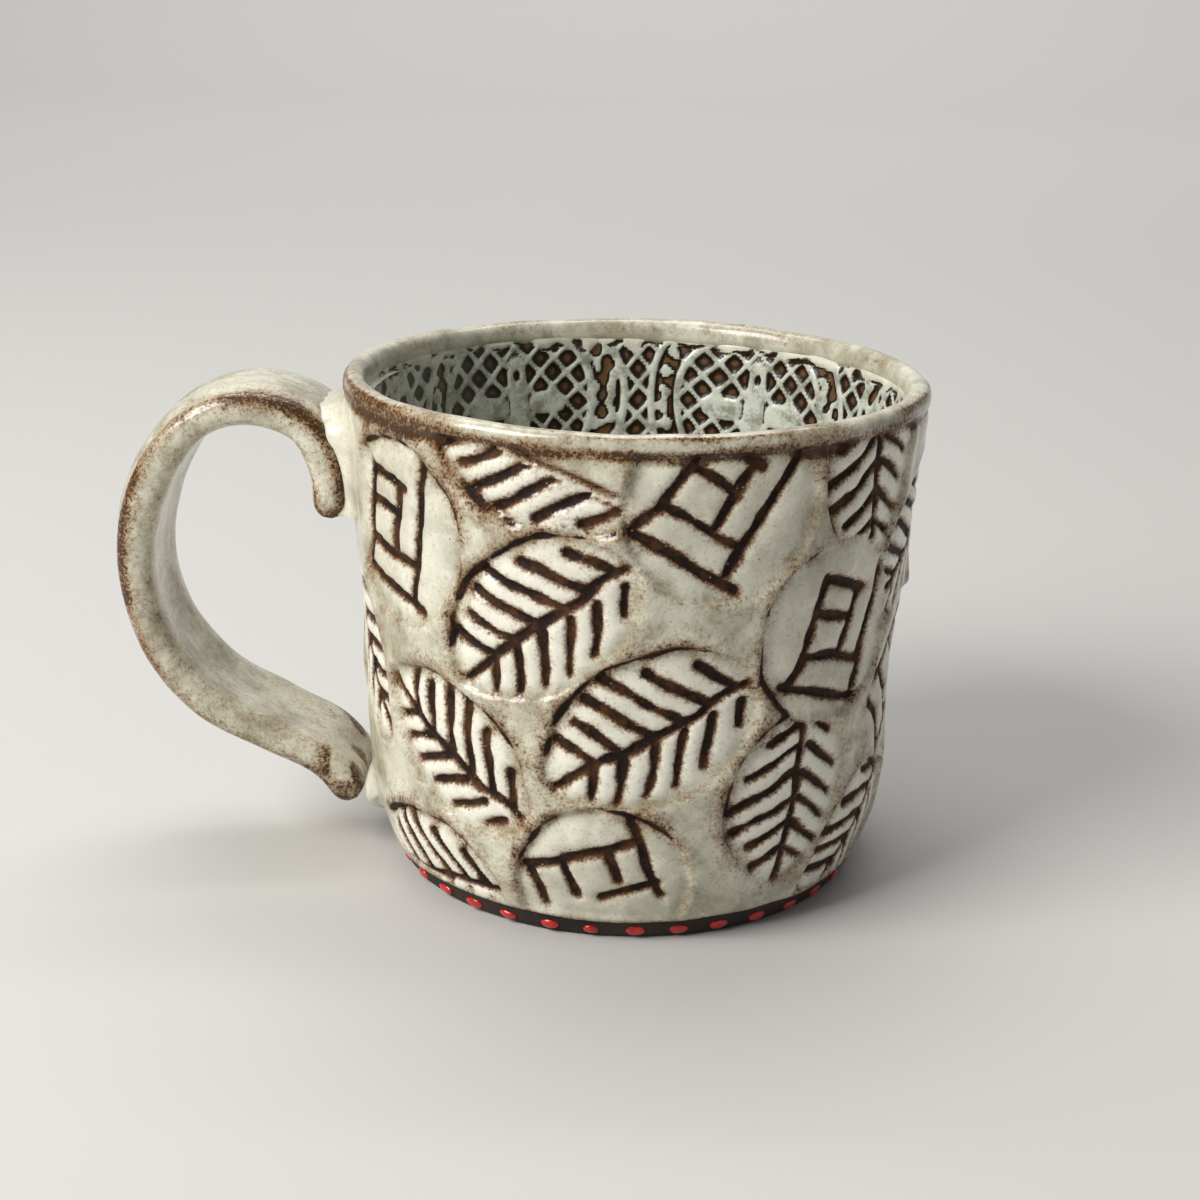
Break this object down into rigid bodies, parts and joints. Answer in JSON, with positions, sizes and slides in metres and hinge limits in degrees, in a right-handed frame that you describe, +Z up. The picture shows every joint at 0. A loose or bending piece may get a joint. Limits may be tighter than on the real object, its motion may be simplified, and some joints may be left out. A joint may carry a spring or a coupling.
{
  "type": "stoneware mug",
  "caption": "Hand-built stoneware mug with a leaf and medallion stamped wall, a lace-textured inside, a folded strap handle and a bare dotted foot edge.",
  "frame": {"origin": "middle of the foot's flat underside, on the mug's axis", "axes": "+Z up along the mug's axis, the handle points to -X, +Y to the back"},
  "size_m": [0.1286, 0.092, 0.0805],
  "materials": {
    "glaze": "glossy matt-white glaze breaking brown on edges and in stamped lines",
    "bare_clay": "bare vitrified dark clay, dry and slightly rough",
    "red_glaze": "glossy raised drops"
  },
  "bodies": {
    "root": {"wall": "glaze", "floor_disc": "bare_clay", "corner_coil": "glaze", "handle_strap": "glaze", "upper_join_coil": "glaze", "lower_join_coil": "glaze", "dot_01": "red_glaze", "dot_02": "red_glaze", "dot_03": "red_glaze", "dot_04": "red_glaze", "dot_05": "red_glaze", "dot_06": "red_glaze", "dot_07": "red_glaze", "dot_08": "red_glaze", "dot_09": "red_glaze", "dot_10": "red_glaze", "dot_11": "red_glaze", "dot_12": "red_glaze", "dot_13": "red_glaze", "dot_14": "red_glaze", "dot_15": "red_glaze", "dot_16": "red_glaze", "dot_17": "red_glaze", "dot_18": "red_glaze", "dot_19": "red_glaze", "dot_20": "red_glaze", "dot_21": "red_glaze", "dot_22": "red_glaze", "dot_23": "red_glaze", "dot_24": "red_glaze", "dot_25": "red_glaze", "dot_26": "red_glaze", "dot_27": "red_glaze", "dot_28": "red_glaze", "dot_29": "red_glaze", "dot_30": "red_glaze", "dot_31": "red_glaze", "dot_32": "red_glaze", "dot_33": "red_glaze", "dot_34": "red_glaze", "dot_35": "red_glaze"}
  },
  "joints": []
}
